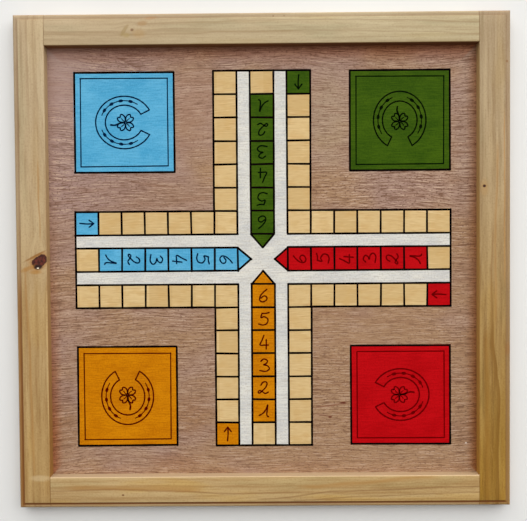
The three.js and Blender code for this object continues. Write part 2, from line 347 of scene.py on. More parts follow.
def pine(name, runs, inward, seed, low, high, wall, knots=(), streaks=(), marks=()):
    """Varnished pine along X or Y, with tones for its low and its high end, and painted light and shade on
    its inner wall.
    """
    x, y, z = new_material(name)
    along, across = grain_first(runs, x, y)
    lengthwise, sideways = grain_first(runs, *split(x.holder, "NewGeometry", "Normal")[:2])

    # The grain wanders slowly and parts round the knots
    wander = noise(along * 3.5, across * 14, seed)
    flow = across + z * 0.8 + (wander - 0.5) * GRAIN_WANDER
    for branch in knots:
        flow = part_grain(flow, along, across, branch, runs)
    line = late_wood(along, flow, seed)
    band = noise(along * 6, flow * 60, seed + 11)
    stripe = noise(along * 9, flow * 220, seed + 13)
    fibre = noise(along * 45, flow * 560, seed + 17)
    fleck = noise(along * 420, flow * 480, seed + 23, detail=1.0)
    warmth = noise(along * 8, flow * 45, seed + 19)

    # From the low to the high end of the batten: the paler upper ends of the stiles are partly a painted
    # sheen
    share = smooth(along, -BOARD_HALF, BOARD_HALF)
    light, middle, dark = (mix(share, first, second) for first, second in zip(low[:3], high[:3]))
    gold = share * (high[3] - low[3]) + low[3]
    colour = layers(
        middle,
        (band, 0.4, 0.65, 0.6, light),
        (stripe, 0.5, 0.75, 0.45, dark),
        (stripe, 0.46, 0.25, 0.5, light),
    )
    colour = layers(
        mix(line * (0.5 - share * 0.12), colour, dark),
        (fibre, 0.52, 0.75, 0.38, dark),
        (fibre, 0.46, 0.24, 0.4, light),
        (fleck, 0.5, 0.75, 0.26, dark),
        (fleck, 0.46, 0.25, 0.2, light),
    )
    colour = stain(smooth(warmth, 0.5, 0.7) * gold, colour, GOLDEN_STAIN)
    colour = stain(smooth(warmth, 0.46, 0.3), colour, GREY_STAIN)

    upper = smooth(z, FRAME_TOP * 0.6, FRAME_TOP * 0.7)
    colour = pine_ledge(colour, x, y, upper)
    for mark in streaks:
        colour = pine_streak(colour, along, across, mark)
    for branch in knots:
        colour = pine_knot(colour, x, y, branch)
    for mark in marks:
        colour = add_spot(colour, x, y, mark)
    # Varnish at the foot of the step, with the step's painted shadow
    colour = step_foot_varnish_and_shade(colour, x, y, upper)
    colour = joint_line(colour, x, y, upper)
    colour = painted_wall_light(colour, sideways * inward, lengthwise, share, wall)
    return finish(colour, 0.4 + fibre * 0.2, fibre * 0.6 + line * 0.4, relief=0.12 * MM, gloss=VARNISH)


def grain_first(runs, x, y):
    """Two values in X and Y, the one along the grain first."""
    return (x, y) if runs == "x" else (y, x)


def part_grain(flow, along, across, branch, runs):
    """Bends the flow of the grain round a knot."""
    knot_along, knot_across = grain_first(runs, branch["x"], branch["y"])
    side = across - knot_across
    near = length((along - knot_along) / (branch["reach"] * 1.8), side / branch["reach"])
    return flow - side * smooth(near, 1.0, 0.0) * 0.85


def late_wood(along, flow, seed):
    """Soft dark lines that fade in and out."""
    rings = flow / RING_SPACING + noise(along * 2, flow * 45, seed + 3) * 2.0
    turn = calculate("FRACT", rings)
    presence = noise(along * 6, flow * 90, seed + 7, detail=1.0)
    return smooth(turn, 0.3, 0.85) * smooth(turn, 1.0, 0.88) * smooth(presence, 0.38, 0.62)


def square_reach(x, y):
    """Distance from the board's centre, the same all along a square."""
    return larger(abs(x), abs(y))


def on_side(outward, aside):
    """1 in the quarter of the board that lies outward between its diagonals, and 0 past them."""
    return smooth(abs(aside) - outward, MITRE_BLUR, -MITRE_BLUR)


def pine_ledge(colour, x, y, upper):
    """The moulding's ledge in a duller tone all round, darker again on the right and less on the left."""
    edge = BOARD_HALF - square_reach(x, y)
    tone_share = smooth(edge, LEDGE_WIDTH, LEDGE_WIDTH - LEDGE_FADE) * upper
    ledge_sides = on_side(x, y) * 0.7 + on_side(-1 * x, y) * 0.5
    colour = mix(tone_share * 0.32, colour, tint(158, 131, 104))
    return stain(tone_share * ledge_sides, colour, LEDGE_STAIN)


def step_foot_varnish_and_shade(colour, x, y, upper):
    """Varnish gathered at the foot of the moulding's step all round, deepened by a painted shadow of the
    step along the bottom and low on the left.
    """
    # A little varnish all round; the extra along the bottom and low on the left is the step's painted shadow
    left = on_side(-1 * x, y) * (smooth(y, 20 * MM, -140 * MM) * 0.48 + 0.06)
    darkening = 0.12 + on_side(-1 * y, x) * 0.8 + left
    edge = BOARD_HALF - square_reach(x, y)
    foot = smooth(edge, *STEP_FOOT_OUTSIDE) * smooth(edge, *STEP_FOOT_INSIDE)
    return mix(foot * darkening * upper, colour, tint(104, 54, 6))


def joint_line(colour, x, y, upper):
    """Dirt in the butt joints between the stiles and the rails."""
    near = smooth(abs(abs(x) - OPENING_HALF), *JOINT_DIRT)
    outside = smooth(abs(y), OPENING_HALF, OPENING_HALF + JOINT_FADE)
    patchy = (noise(x * 90, y * 90, 8.0) * 0.8 + 0.1) * upper
    return stain(near * outside * patchy, colour, JOINT_STAIN)


def painted_wall_light(colour, turned, lengthwise, share, wall):
    """The inner wall's tone, painted light and shade for the light that falls on that wall, with a painted
    tone along its arris, and the end grain, which drank more varnish.
    """
    tone = mix(share, wall["low"], wall["high"])
    colour = mix(smooth(turned, 0.6, 0.95) * wall["share"], colour, tone)
    arris = smooth(turned, 0.1, 0.4) * smooth(turned, 0.95, 0.7)
    colour = mix(arris * wall["tone_share"], colour, wall["arris"])
    return layers(colour, (abs(lengthwise), 0.5, 0.9, 0.45, tint(140, 98, 56)))


def wall_light_tones(low, high, share, arris=tint(200, 170, 128), tone_share=0.0):
    """Painted light and shade of a batten's inner wall: its tones at its low and high end, and the tone
    along its arris with its share.
    """
    return {"low": low, "high": high, "share": share, "arris": arris, "tone_share": tone_share}


def pine_streak(colour, along, across, mark):
    """A curved stripe of another tone that fades to both sides of its middle line and at its ends."""
    points, fade = mark["points"], mark["fade"]
    middle = points[0][1]
    for (start, level), (end, next_level) in zip(points, points[1:]):
        middle = smooth(along, start, end) * (next_level - level) + middle
    wobble = noise(along * 45, across * 90, 2.0) - 0.5
    off = across + wobble * STREAK_WOBBLE - middle
    reach = larger(off / mark["above"], off / -mark["below"])
    start, end = points[0][0], points[-1][0]
    fades = smooth(along, start - fade, start) * smooth(along, end + fade, end)
    patchy = noise(along * 30, across * 240, 5.0) * 0.7 + 0.65
    return layers(colour, (reach, 1.0, 0.0, fades * patchy * mark["strength"], mark["tone"]))


def pine_knot(colour, x, y, branch):
    """A branch cut across: a red-brown heart with fine cracks in a darker rim, ringed with ochre."""
    ragged = noise(x * 420, y * 420, 3.0) - 0.5
    first, second = tilted(x, y, branch)
    narrowing = 1.0 - first * (branch["taper"] / branch["long"])
    first, second = first / branch["long"], second / (narrowing * branch["short"])
    blunt = larger(abs(first), abs(second))
    reach = length(first, second) * 0.5 + blunt * 0.5 + ragged * 0.35
    crack = noise(x * 300, y * 300, 7.0, detail=3.0)
    inner = mix(smooth(crack, 0.38, 0.62), tint(98, 40, 27), tint(54, 20, 10))
    heart = smooth(reach, 1.1, 0.94) * branch["strength"]
    colour = layers(colour, (reach, 1.7, 1.0, 0.6 * branch["strength"], tint(164, 108, 44)))
    colour = mix(heart, colour, inner)
    return layers(colour, (reach, 0.62, 0.95, heart * 0.8, tint(50, 18, 6)))


def metres(**sizes):
    """Named sizes in mm, turned into metres."""
    return {name: size * MM for name, size in sizes.items()}


def streak(points, above, below, tone, strength, fade=12):
    """A stripe's points along and across the grain, its half widths and its fading length, in mm."""
    placed = [(along * MM, across * MM) for along, across in points]
    sizes = metres(above=above, below=below, fade=fade)
    return sizes | {"points": placed, "tone": tone, "strength": strength}


def knot(x, y, long, short, reach, angle=0, taper=0.0, strength=1.0):
    """A knot's place, half sizes and how far the grain bends round it, in mm, and its tilt in degrees."""
    sizes = metres(x=x, y=y, long=long, short=short, reach=reach)
    return sizes | {"angle": math.radians(angle), "taper": taper, "strength": strength}


def spot(x, y, wide, high, tone, strength=1.0, angle=0):
    """A small mark, with its place and half sizes in mm and its tilt in degrees."""
    sizes = metres(x=x, y=y, wide=wide, high=high)
    return sizes | {"angle": math.radians(angle), "tone": tone, "strength": strength}


def veneer_flow(x, y):
    """Place across the veneer's grain, which slants and ripples."""
    slant = noise(x * 5, y * 6, 4.0, detail=1.0)
    ripple = noise(x * 18, y * 28, 9.0, detail=1.0)
    return y + (slant - 0.5) * VENEER_SLANT + (ripple - 0.5) * VENEER_RIPPLE


def veneer_fibre(x, flow):
    """The veneer's fibres, which also show faintly through the paint."""
    long_fibre = noise(x * 22, flow * 680, 3.0, detail=1.0)
    short_fibre = noise(x * 85, flow * 780, 6.0, detail=1.0)
    return long_fibre * 0.5 + short_fibre * 0.5


# Stretches of the veneer where the fibres stand out less or more: place and half sizes in mm, and the change
GRAIN_STRETCHES = (
    (-84, 165, 50, 95, -0.32),
    (-246, 228, 36, 50, -0.45),
    (135, -80, 100, 32, -0.4),
    (0, -245, 260, 30, -0.2),
    (165, 88, 105, 34, 0.4),
    (-242, 136, 26, 52, 0.6),
    (84, 175, 40, 80, -0.2),
)

# Stretches of the veneer with another tone: place and half sizes in mm, the tone and its share
VENEER_PATCHES = (
    (-92, 205, 46, 60, tint(156, 117, 84), 0.4),
    (250, 165, 22, 80, tint(156, 132, 122), 0.5),
    # This one darkens the veneer beside the lower left wall
    (-248, -196, 18, 36, tint(138, 98, 70), 0.4),
    (-92, -192, 30, 26, tint(144, 98, 62), 0.4),
    (-108, -246, 36, 12, tint(148, 102, 76), 0.4),
    (-150, 88, 85, 22, tint(142, 108, 86), 0.35),
    (82, 172, 28, 66, tint(168, 148, 115), 0.45),
)

# Scratches, brown marks with their tails, and a pale nick
PANEL_MARKS = (
    spot(-164, 244, 19, 1.0, tint(112, 76, 56), 0.5, angle=-28),
    spot(-155, 234, 10, 1.2, tint(186, 156, 132), 0.5, angle=-34),
    spot(97.6, -175.6, 5.0, 1.4, tint(92, 38, 16)),
    spot(80.0, -179.0, 17, 1.1, tint(132, 86, 62), 0.7, angle=8),
    spot(81.5, -192.9, 2.8, 1.3, tint(96, 44, 24)),
    spot(73.0, -190.6, 9, 1.0, tint(132, 88, 64), 0.6, angle=-8),
    spot(248.9, -226.1, 1.1, 1.0, tint(226, 216, 204), 0.9),
)


def okoume():
    """Pinkish-brown veneer with wavy fibres, short dark pores and a ribbon figure, under thin varnish, with
    a painted sheen at the upper left and painted shadow along the walls.
    """
    x, y, z = new_material("okoume_veneer")
    flow = veneer_flow(x, y)
    ribbon = noise(x * 14, flow * 110, 2.0)
    fibre = veneer_fibre(x, flow)
    pore = noise(x * 340, flow * 640, 5.0, detail=1.0)
    patch = noise(x * 9, y * 16, 1.0)
    warm = smooth(patch - y * 0.5 + x * 0.25, 0.35, 0.65)
    colour = mix(warm, tint(160, 129, 113), tint(163, 128, 96))
    # Painted reflection of the light on the varnish: the veneer turns greyer towards the upper left
    painted_haze = smooth(x, -60 * MM, -220 * MM) * 0.75
    colour = layers(colour, (y, 20 * MM, 100 * MM, painted_haze, tint(158, 129, 120)))
    for *stretch, tone, share in VENEER_PATCHES:
        colour = mix(nearness(x, y, *stretch) * share, colour, tone)
    lively = grain_strength(x, y)
    # More painted sheen, paler, at the far upper left
    painted_sheen = smooth(x, -190 * MM, -250 * MM) * 0.3
    colour = layers(
        colour,
        (ribbon, 0.48, 0.75, 0.45, tint(142, 102, 76)),
        (ribbon, 0.46, 0.22, 0.4, tint(184, 154, 134)),
        (fibre, 0.5, 0.63, lively * 0.75, tint(112, 77, 56)),
        (fibre, 0.48, 0.35, lively * 0.65, tint(197, 167, 143)),
        (pore, 0.54, 0.7, lively * 0.55, tint(98, 64, 46)),
        (y, 80 * MM, 130 * MM, painted_sheen, tint(178, 152, 142)),
    )
    for mark in PANEL_MARKS:
        colour = add_spot(colour, x, y, mark)
    # Painted shadow along the foot of the walls
    colour = painted_wall_shade(colour, x, y, z)
    height = fibre * 0.5 - smooth(pore, 0.54, 0.7) * 0.8
    return finish(colour, 0.5 + fibre * 0.2, height, relief=0.1 * MM, gloss=VARNISH)


def nearness(x, y, middle_x, middle_y, wide, high):
    """1 round the middle of a stretch of the panel and 0 well outside it, with its sizes in mm."""
    reach = length((x - middle_x * MM) / (wide * MM), (y - middle_y * MM) / (high * MM))
    return smooth(reach, 1.3, 0.4)


def grain_strength(x, y):
    """How far the veneer's fibres stand out: about 1, with calm and lively stretches."""
    strength = noise(x * 12, y * 20, 12.0, detail=1.0) * 0.5 + 0.78
    for *stretch, change in GRAIN_STRETCHES:
        strength = strength + nearness(x, y, *stretch) * change
    return strength


def painted_wall_shade(colour, x, y, z):
    """Painted shadow along the foot of the walls, tinted warm for the light that the pine walls throw back,
    most along the top and the right.
    """
    above, right, left = on_side(y, x), on_side(x, y), on_side(-1 * x, y)
    lower = smooth(y, 100 * MM, -250 * MM)
    darkening = above * (x + 0.68) + right * (lower * 0.28 + 0.7) + left * (lower * 0.75 + 0.06)
    upper = smooth(z, PANEL_TOP - 1.0 * MM, PANEL_TOP - 0.5 * MM)
    gap = OPENING_HALF - square_reach(x, y)
    near = smooth(gap, WALL_SHADE_REACH + above * WALL_SHADE_ABOVE, 0.0)
    return stain(near * darkening * upper, colour, mix(right, WALL_SHADE_TONE, RIGHT_SHADE_TONE))


def paint(name, deep, light, shadow, thin):
    """Satin paint brushed along the grain, through which the veneer's fibres still show a little."""
    x, y = new_material(name)[:2]
    fibre = veneer_fibre(x, veneer_flow(x, y))
    cloud = noise(x * 30, y * 40, 6.0, detail=3.0)
    brush = noise(x * 60, y * 840, 8.0, detail=1.0)
    speck = noise(x * 520, y * 520, 4.0, detail=1.0)
    colour = layers(
        mix(smooth(cloud * 0.5 + brush * 0.5, 0.34, 0.66), deep, light),
        (fibre, 0.48, 0.72, thin, shadow),
        (speck, 0.5, 0.72, 0.4, shadow),
        (speck, 0.48, 0.28, 0.4, light),
    )
    return finish(colour, 0.4 + brush * 0.2, brush * 0.5 + fibre * 0.5, relief=0.05 * MM, gloss=SATIN)


def tan_cells():
    """Ochre wash on the plain cells: each was painted by itself, so no two are quite alike."""
    x, y = new_material("tan_wash")[:2]
    column = calculate("FLOOR", (x - (TRACK_CENTRE.x + TRACK_INNER)) / CELL)
    row = calculate("FLOOR", (y - (TRACK_CENTRE.y + TRACK_INNER)) / CELL)
    fibre = veneer_fibre(x, veneer_flow(x, y))
    cloud = noise(x * 60, y * 90, 6.0, detail=3.0)
    colour = layers(
        mix(chance(column, row), tint(203, 170, 115), tint(217, 187, 134)),
        (cloud, 0.45, 0.65, 0.5, tint(203, 165, 106)),
        (fibre, 0.48, 0.72, 0.5, tint(184, 141, 88)),
        (fibre, 0.46, 0.28, 0.45, tint(234, 207, 160)),
    )
    return finish(colour, 0.45 + fibre * 0.2, fibre, relief=0.06 * MM, gloss=SATIN)


def ink(name, full, thin):
    """Felt-pen ink, thinner in places, with a tone of the paint that shows through it."""
    x, y = new_material(name)[:2]
    soak = noise(x * 260, y * 260, 1.0, detail=3.0)
    colour = mix(smooth(soak, 0.45, 0.8), full, thin)
    return finish(colour, 0.5 + soak * 0.2, soak, relief=0.02 * MM, gloss=MATT)


def beech():
    """Bare beech with fine flecks, for the dowels."""
    x, y, z = new_material("beech")
    fleck = noise(x * 120, y * 900, z * 900)
    colour = mix(smooth(fleck, 0.35, 0.7), tint(206, 166, 122), tint(178, 134, 92))
    return finish(colour, 0.5 + fleck * 0.2, fleck, relief=0.05 * MM, gloss=0.3)


def steel():
    """Bright drawn steel with faint scratches and a few dull spots, for the pins."""
    x, y, z = new_material("bright_steel")
    scratch = noise(x * 3000, y * 3000, z * 400)
    dull = smooth(noise(x * 500, y * 500, z * 500), 0.5, 0.75)
    colour = mix(dull * 0.6, tint(186, 188, 190), tint(132, 120, 108))
    roughness = 0.25 + scratch * 0.15 + dull * 0.2
    return finish(colour, roughness, scratch, relief=0.02 * MM, metallic=1.0)


# Pieces in mesh code

def add_object(name, data):
    """A new object in the scene."""
    added = bpy.data.objects.new(name, data)
    bpy.context.scene.collection.objects.link(added)
    return added


def add_mesh(name, points, faces, material):
    """A mesh of one material."""
    mesh = bpy.data.meshes.new(name)
    mesh.from_pydata(points, [], faces)
    mesh.validate()
    mesh.materials.append(material)
    return add_object(name, mesh)


def add_piece(name, points, faces, material, slot, *nodes):
    """A mesh that rides on the board, and stands for CAD nodes where some are named."""
    piece = add_mesh(name, points, faces, material)
    if nodes:
        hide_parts(*nodes)
    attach(piece, "root")
    return piece


def rounding(distance, radius):
    """How far a rounded arris lies below the sharp edge, at a distance from the edge's face."""
    if distance >= radius:
        return 0.0
    return radius - math.sqrt(radius ** 2 - (radius - distance) ** 2)


def moulding_height(distance):
    """Top of the moulding at a distance from the outer face: a rounded ledge, a riser and the flat top."""
    ledge = FRAME_TOP - LEDGE_DROP
    if distance <= LEDGE_WIDTH:
        return ledge - rounding(distance, LEDGE_ROUNDING)
    past = distance - LEDGE_WIDTH
    if past < RISER_RUN:
        return ledge + (LEDGE_DROP - TOP_ARRIS) * past / RISER_RUN
    return FRAME_TOP - rounding(past - RISER_RUN, TOP_ARRIS)


def frame_top(x, y):
    """Height of the frame's upper surface."""
    reach = max(abs(x), abs(y))
    height = moulding_height(BOARD_HALF - reach) - rounding(max(reach - OPENING_HALF, 0.0), INNER_ARRIS)
    if abs(y) > OPENING_HALF:
        height -= rounding(abs(abs(x) - OPENING_HALF), JOINT_ARRIS)
    return height


def frame_bottom(x, y):
    """Height of the frame's lower surface, with the rabbet that takes the panel."""
    reach = max(abs(x), abs(y))
    return PANEL_TOP if reach < RABBET_HALF else rounding(BOARD_HALF - reach, FOOT_ARRIS)


def arc_marks(radius, facets):
    """Distances from an edge at which a rounded arris has a facet line."""
    return [radius * (1 - math.cos(math.pi / 2 * step / facets)) for step in range(facets + 1)]


def frame_marks():
    """Distances from the board's centre at which the frame's section changes."""
    marks = [BOARD_HALF - LEDGE_WIDTH, RABBET_HALF - RABBET_SLOPE, RABBET_HALF]
    riser = BOARD_HALF - (LEDGE_WIDTH + RISER_RUN)
    for edge, way, radius, facets in (
        (BOARD_HALF, -1, LEDGE_ROUNDING, LEDGE_FACETS),
        (BOARD_HALF, -1, FOOT_ARRIS, ARRIS_FACETS),
        (riser, -1, TOP_ARRIS, ARRIS_FACETS),
        (OPENING_HALF, 1, INNER_ARRIS, ARRIS_FACETS),
        (OPENING_HALF, 1, JOINT_ARRIS, ARRIS_FACETS),
        (OPENING_HALF, -1, JOINT_ARRIS, ARRIS_FACETS),
    ):
        marks += [edge + way * mark for mark in arc_marks(radius, facets)]
    return marks


def grid_lines(low, high):
    """Lines across a batten: where the section changes, and a few between."""
    marks = [sign * mark for mark in frame_marks() for sign in (-1, 1)]
    count = max(2, round((high - low) / BATTEN_SPACING))
    marks += [low + (high - low) * step / count for step in range(count + 1)]
    lines = []
    for mark in sorted(mark for mark in marks if low <= mark <= high):
        if not lines or mark - lines[-1] > RABBET_SLOPE / 2:
            lines.append(mark)
    return lines


def batten_mesh(low, high):
    """Points and faces of a batten, closed, with its moulding, worn arrises and rabbet."""
    columns = grid_lines(low.x, high.x)
    rows = grid_lines(low.y, high.y)
    wide, deep = len(columns), len(rows)
    below = wide * deep
    points = [(x, y, height(x, y)) for height in (frame_top, frame_bottom) for y in rows for x in columns]
    faces = []
    for j in range(deep - 1):
        for i in range(wide - 1):
            a, b = j * wide + i, j * wide + i + 1
            c, d = b + wide, a + wide
            # The crease of a mitred corner runs from the board's corner towards its centre
            if columns[i] * rows[j] > 0:
                triangles = ((a, b, c), (a, c, d))
            else:
                triangles = ((a, b, d), (b, c, d))
            for triangle in triangles:
                faces.append(triangle)
                faces.append(tuple(below + corner for corner in reversed(triangle)))
    rim = list(range(wide))
    rim += [j * wide + wide - 1 for j in range(1, deep)]
    rim += [(deep - 1) * wide + i for i in range(wide - 2, -1, -1)]
    rim += [j * wide for j in range(deep - 2, 0, -1)]
    for first, second in zip(rim, rim[1:] + rim[:1]):
        faces.append((below + first, below + second, second, first))
    return points, faces


def batten(node, *grain, **marks):
    """One batten of the frame, in pine with its own grain and marks."""
    points, faces = batten_mesh(*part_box(node))
    material = pine("pine_" + node, *grain, **marks)
    piece = add_piece(node + "_moulded", points, faces, material, "pine", node)
    piece.data.shade_smooth()
    piece.data.set_sharp_from_angle(angle=SHARP_ANGLE)


class Sketch:
    """Pen strokes on the paint: thin strips with round ends, collected into one mesh."""

    def __init__(self, seed):
        self.points = []
        self.faces = []
        self.chance = random.Random(seed)
        self.lift = 0

    def top(self):
        """Height of the next stroke: strokes that cross lie at slightly different heights."""
        self.lift = (self.lift + 1) % INK_LAYERS
        return INK_TOP - INK_LAYER * self.lift

    def stroke(self, path, width):
        """A strip along a path, with four corners to each section."""
        top = self.top()
        first = len(self.points)
        for middle, side, half in self.sections(path, width):
            flat = half - min(PEN_SLOPE, half / 2)
            for reach, height in ((-half, COAT_TOP), (-flat, top), (flat, top), (half, COAT_TOP)):
                self.points.append((middle + side * reach).to_tuple()[:2] + (height,))
        last = len(self.points) - 4
        for start in range(first, last, 4):
            for corner in range(4):
                here, following = start + corner, start + (corner + 1) % 4
                self.faces.append((here, following, following + 4, here + 4))
        self.faces.append((first + 3, first + 2, first + 1, first))
        self.faces.append((last, last + 1, last + 2, last + 3))

    def sections(self, path, width):
        """Middle, sideways direction and half width of each section: the width varies, as a pen's does."""
        wobble = self.chance.uniform(0, 2 * math.pi)
        pace = self.chance.uniform(*PEN_PACE)
        found = []
        for index, middle in enumerate(path):
            ahead = path[min(index + 1, len(path) - 1)] - path[max(index - 1, 0)]
            forward = ahead.normalized()
            half = width / 2 * (1 + PEN_WOBBLE * math.sin(wobble + index * pace))
            found.append((middle, Vector((forward.y, -forward.x, 0)), half))
        return round_cap(*found[0], -1)[::-1] + found + round_cap(*found[-1], 1)

    def ruled(self, start, end, width):
        """A line drawn along a ruler that lay a little askew, with ink that spread to both sides."""
        start, end = self.slipped(start), self.slipped(end)
        steps = max(2, round((end - start).length / RULED_STEP))
        self.stroke([start.lerp(end, step / steps) for step in range(steps + 1)], width + PEN_SPREAD)

    def slipped(self, point):
        """A point that the hand missed by a little."""
        x, y = (value + self.chance.uniform(-HAND_SLIP, HAND_SLIP) for value in point)
        return Vector((x, y, 0))

    def blot(self, centre, half_wide, half_high, angle):
        """A small filled oval."""
        top = self.top()
        lower = range(len(self.points), len(self.points) + BLOT_SIDES)
        upper = [corner + BLOT_SIDES for corner in lower]
        for shrink, height in ((1.0, COAT_TOP), (BLOT_TOP, top)):
            for step in range(BLOT_SIDES):
                turn = 2 * math.pi * step / BLOT_SIDES
                flat = Vector((half_wide * shrink * math.cos(turn), half_high * shrink * math.sin(turn), 0))
                spun = Quaternion((0, 0, 1), angle) @ flat + centre
                self.points.append((spun.x, spun.y, height))
        for step in range(BLOT_SIDES):
            following = (step + 1) % BLOT_SIDES
            self.faces.append((lower[step], lower[following], upper[following], upper[step]))
        self.faces.append(tuple(reversed(lower)))
        self.faces.append(tuple(upper))

    def add(self, name, material, *nodes):
        """Puts the strokes on the board as one piece."""
        add_piece(name, self.points, self.faces, material, "black_ink", *nodes)


def round_cap(middle, side, half, way):
    """Sections that round off a stroke, past its end where way is 1 and before its start where it is -1."""
    forward = Vector((-side.y, side.x, 0))
    cap = []
    for reach in CAP_REACHES:
        cap.append((middle + forward * half * (way * reach), side, half * math.sqrt(1 - reach ** 2)))
    return cap


def smooth_path(points):
    """Places a short step apart on a smooth curve through the given points."""
    knots = [Vector((*point, 0)) for point in points]
    knots = [2 * knots[0] - knots[1]] + knots + [2 * knots[-1] - knots[-2]]
    path = []
    for before, start, end, after in zip(knots, knots[1:], knots[2:], knots[3:]):
        count = max(2, round((end - start).length / SKETCHED_STEP))
        for index in range(count):
            t = index / count
            path.append(0.5 * (
                2 * start + (end - before) * t
                + (2 * before - 5 * start + 4 * end - after) * t ** 2
                + (3 * start - before - 3 * end + after) * t ** 3
            ))
    return path + [knots[-2]]


def quarter_turn(point, quarter):
    """A point of the top arm, measured from the track's centre, turned to another player's arm."""
    x, y = point
    for _ in range(quarter):
        x, y = -y, x
    return (TRACK_CENTRE.x + x, TRACK_CENTRE.y + y)


def turned_path(points, quarter):
    """A smooth curve of the top arm, turned to another player's arm."""
    return smooth_path([quarter_turn(point, quarter) for point in points])


# Hand-drawn digits in a box that is 1 high, with x from -0.5 to 0.5
DIGITS = {
    1: [[(-0.42, 0.12), (-0.17, 0.27), (0.05, 0.56), (0.20, 0.98), (0.18, 0.62), (0.14, 0.26), (0.18, 0.06),
         (0.27, 0.02)]],
    2: [[(-0.20, 0.72), (-0.08, 0.93), (0.14, 1.0), (0.25, 0.84), (0.16, 0.54), (-0.10, 0.24), (-0.30, 0.06),
         (-0.40, 0.14), (-0.28, 0.28), (-0.06, 0.16), (0.14, 0.03), (0.36, 0.14)]],
    3: [[(-0.27, 0.80), (-0.05, 0.98), (0.22, 0.84), (0.12, 0.60), (-0.08, 0.50), (0.20, 0.42), (0.35, 0.18),
         (0.10, -0.04), (-0.36, 0.02)]],
    4: [[(0.02, 1.03), (-0.14, 0.64), (-0.32, 0.24), (0.0, 0.22), (0.30, 0.23)],
        [(0.17, 0.66), (0.15, 0.28), (0.12, -0.10)]],
    5: [[(-0.18, 0.94), (-0.25, 0.58), (0.0, 0.66), (0.27, 0.44), (0.20, 0.10), (-0.08, -0.02),
         (-0.40, 0.06)],
        [(-0.18, 0.94), (0.08, 0.93), (0.34, 1.0)]],
    6: [[(0.22, 1.0), (-0.03, 0.76), (-0.25, 0.42), (-0.25, 0.10), (-0.02, -0.02), (0.24, 0.14),
         (0.24, 0.38), (0.04, 0.47), (-0.18, 0.30)]],
}


def player_numbers(colour, quarter, material):
    """Numbers 1 to 6 in a player's home column, their tops towards the centre of the board."""
    sketch = Sketch(NUMBER_SEED + quarter)
    for number, strokes in DIGITS.items():
        middle = TRACK_END - CELL * (number + 0.5)
        tilt = sketch.chance.uniform(-DIGIT_TILT, DIGIT_TILT)
        shift = sketch.chance.uniform(-DIGIT_SHIFT, DIGIT_SHIFT) * CELL
        for points in strokes:
            placed = []
            for x, y in points:
                leaned = x + (y - 0.5) * tilt
                placed.append((-leaned * DIGIT_WIDTH + shift, middle - (y - 0.5) * DIGIT_HEIGHT))
            sketch.stroke(turned_path(placed, quarter), PEN)
    sketch.add(colour + "_numbers", material)


# The arrow in the start cells
ARROW_HALF = 0.30 * CELL
BARB_BACK = 0.20 * CELL
BARB_SIDE = 0.15 * CELL
TAIL_ASIDE = 0.5 * MM
SHAFT_BEND = 0.3 * MM


def player_arrow(colour, quarter, material):
    """An arrow in the start cell that shows which way the pawns set off."""
    sketch = Sketch(ARROW_SEED + quarter)
    middle = (TRACK_INNER + TRACK_OUTER) / 2
    level = TRACK_END - HALF_CELL
    tip = (middle, level - ARROW_HALF)
    barbs = [(middle + side * BARB_SIDE, tip[1] + BARB_BACK) for side in (-1, 1)]
    shaft = [(middle + TAIL_ASIDE, level + ARROW_HALF), (middle - SHAFT_BEND, level), tip]
    for points in (shaft, [barbs[0], tip], [tip, barbs[1]]):
        sketch.stroke(turned_path(points, quarter), PEN)
    sketch.add(colour + "_start_arrow", material)


# The lucky horseshoe in the corner squares, with angles in degrees from its toe
SHOE_HALF_WIDE = 32 * MM
SHOE_HALF_HIGH = 35 * MM
SHOE_INNER = 0.66
SHOE_GROOVE = 0.83
SHOE_END = 152
SHOE_STEPS = 40
GROOVE_START = 20
GROOVE_END = 124
GROOVE_STEPS = 24
NAIL_ANGLES = (34, 58, 82, 106)
NAIL_HALF_WIDE = 1.9 * MM
NAIL_HALF_LONG = 3.0 * MM

# The clover inside it, with the vein as shares of its reach and the stem in mm
CLOVER_REACH = 12 * MM
CLOVER_LIFT = 1.5 * MM
CLOVER_STEPS = 96
CLOVER_HEART = 0.08
LEAF_BLUNTNESS = 0.45
NOTCH_DEPTH = 0.24
NOTCH_ANGLE = 0.16
VEIN = ((0.16, 0.0), (0.36, 0.03), (0.56, 0.0))
STEM = ((0, 0.5), (1.0, -5.5), (3.2, -11.5), (2.8, -16.5))


def horseshoe(colour, quarter, material):
    """A plain horseshoe round a four-leaved clover, in a player's corner square."""
    sketch = Sketch(MOTIF_SEED + quarter)
    low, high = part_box(colour + "_home_square")
    middle = (low + high) / 2

    def placed(x, y):
        turned = Vector((-x, -y, 0))
        turned.rotate(Quaternion((0, 0, 1), math.pi / 2 * quarter))
        return (middle.x + turned.x, middle.y + turned.y)

    def on_shoe(scale, angle):
        return placed(scale * SHOE_HALF_WIDE * math.sin(angle), -scale * SHOE_HALF_HIGH * math.cos(angle))

    def shoe_arc(scale, start, end, steps):
        start, end = math.radians(start), math.radians(end)
        angles = [start + (end - start) * step / steps for step in range(steps + 1)]
        return smooth_path([on_shoe(scale, angle) for angle in angles])

    for scale in (1.0, SHOE_INNER):
        sketch.stroke(shoe_arc(scale, -SHOE_END, SHOE_END, SHOE_STEPS), PEN)
    for side in (-1, 1):
        heel = [on_shoe(scale, side * math.radians(SHOE_END)) for scale in (1.0, SHOE_GROOVE, SHOE_INNER)]
        sketch.stroke(smooth_path(heel), PEN)
        sketch.stroke(shoe_arc(SHOE_GROOVE, side * GROOVE_START, side * GROOVE_END, GROOVE_STEPS), THIN_PEN)
        for degrees in NAIL_ANGLES:
            angle = side * math.radians(degrees)
            centre = Vector((*on_shoe(SHOE_GROOVE, angle), 0))
            sketch.blot(centre, NAIL_HALF_WIDE, NAIL_HALF_LONG, angle + math.pi / 2 * quarter + math.pi / 2)
    clover(sketch, placed)
    sketch.add(colour + "_horseshoe", material)


